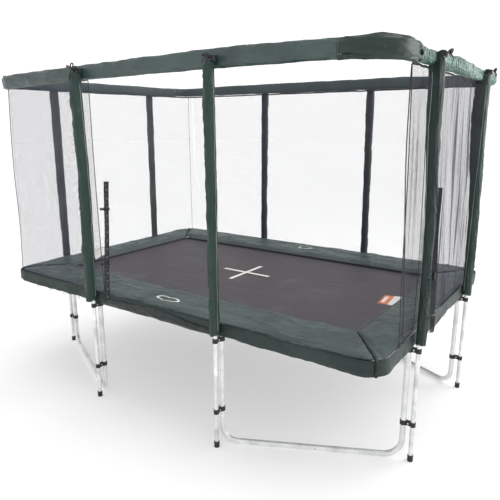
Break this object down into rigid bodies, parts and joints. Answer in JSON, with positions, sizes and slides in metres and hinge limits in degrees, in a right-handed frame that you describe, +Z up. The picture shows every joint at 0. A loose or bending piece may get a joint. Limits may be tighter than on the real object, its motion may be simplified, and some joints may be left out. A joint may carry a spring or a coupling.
{
  "type": "trampoline",
  "caption": "Rectangular garden trampoline: tubular frame on U-shaped legs, sprung woven mat, safety pad, padded net poles with a top rail, and a netted enclosure with a drawn-back entrance.",
  "frame": {"origin": "on the ground below the middle of the bed", "axes": "+Z up; X along the long sides; the entrance is in the -Y side"},
  "size_m": [3.802, 2.65, 2.738],
  "materials": {
    "galvanised_frame": "hot-dip galvanised tube, satin with faint spangle",
    "galvanised_legs": "hot-dip galvanised tube, satin with faint draw lines",
    "galvanised_poles": "galvanised tube, satin",
    "zinc_fasteners": "bright zinc-plated steel",
    "spring_steel": "galvanised spring wire",
    "pole_sleeve_cover": "dark green PVC-coated cloth over foam, wrinkled, soft gloss",
    "rail_sleeve_cover": "dark green PVC-coated cloth, gathered, soft gloss",
    "pad_cover": "grey-green PVC-coated cloth over foam, soft gloss",
    "black_plastic": "moulded black plastic, matt",
    "woven_mat": "tight black woven polypropylene mat, matt",
    "white_tape": "white woven tape sewn to the mat",
    "netting": "fine black knitted polyester net",
    "black_webbing": "black polyester webbing"
  },
  "bodies": {
    "frame": {"clamp_bolts": "zinc_fasteners", "entry_strap": "black_webbing", "frame_elbows": "galvanised_frame", "frame_rail_back_left": "galvanised_frame", "frame_rail_back_right": "galvanised_frame", "frame_rail_front_left": "galvanised_frame", "frame_rail_front_right": "galvanised_frame", "frame_rail_left": "galvanised_frame", "frame_rail_right": "galvanised_frame", "leg_base_back_left": "galvanised_legs", "leg_base_back_right": "galvanised_legs", "leg_base_front_left": "galvanised_legs", "leg_base_front_right": "galvanised_legs", "leg_screws": "zinc_fasteners", "leg_sockets": "galvanised_frame", "leg_uprights_back_left": "galvanised_legs", "leg_uprights_back_right": "galvanised_legs", "leg_uprights_front_left": "galvanised_legs", "leg_uprights_front_right": "galvanised_legs", "net_back": "netting", "net_front_flap": "netting", "net_hooks": "spring_steel", "net_left": "netting", "net_pole_back_left": "galvanised_poles", "net_pole_back_right": "galvanised_poles", "net_pole_front_left": "galvanised_poles", "net_pole_front_right": "galvanised_poles", "net_pole_left_back": "galvanised_poles", "net_pole_left_front": "galvanised_poles", "net_pole_right_back": "galvanised_poles", "net_pole_right_front": "galvanised_poles", "net_right": "netting", "pad_back": "pad_cover", "pad_front": "pad_cover", "pad_left": "pad_cover", "pad_right": "pad_cover", "pole_foot_caps": "black_plastic", "pole_lower_clamps": "black_plastic", "pole_sleeves_back": "pole_sleeve_cover", "pole_sleeves_front": "pole_sleeve_cover", "pole_sleeves_left": "pole_sleeve_cover", "pole_sleeves_right": "pole_sleeve_cover", "pole_upper_brackets": "black_plastic", "rail_bolts": "zinc_fasteners", "rail_sleeve_back": "rail_sleeve_cover", "rail_sleeve_front": "rail_sleeve_cover", "rail_sleeve_left": "rail_sleeve_cover", "rail_sleeve_right": "rail_sleeve_cover", "springs": "spring_steel", "top_rail_back": "galvanised_poles", "top_rail_elbows": "galvanised_poles", "top_rail_front": "galvanised_poles", "top_rail_left": "galvanised_poles", "top_rail_right": "galvanised_poles"},
    "mat": {"mat": "woven_mat", "mat_rings": "spring_steel", "mat_cross": "white_tape"},
    "door": {"door_net": "netting", "door_strap": "black_webbing", "door_buckle": "black_plastic"}
  },
  "joints": [
    {"name": "mat_bounce", "type": "slide", "parent": "frame", "child": "mat", "axis": [0, 0, 1], "range_m": [-0.35, 0], "stiffness_N_per_m": 4000, "springref_m": 0.06, "deforming": ["springs"]},
    {"name": "door_close", "type": "slide", "parent": "frame", "child": "door", "axis": [-0.9363, -0.3513, 0], "range_m": [0, 2.4344], "deforming": ["door_net", "door_strap"]}
  ]
}
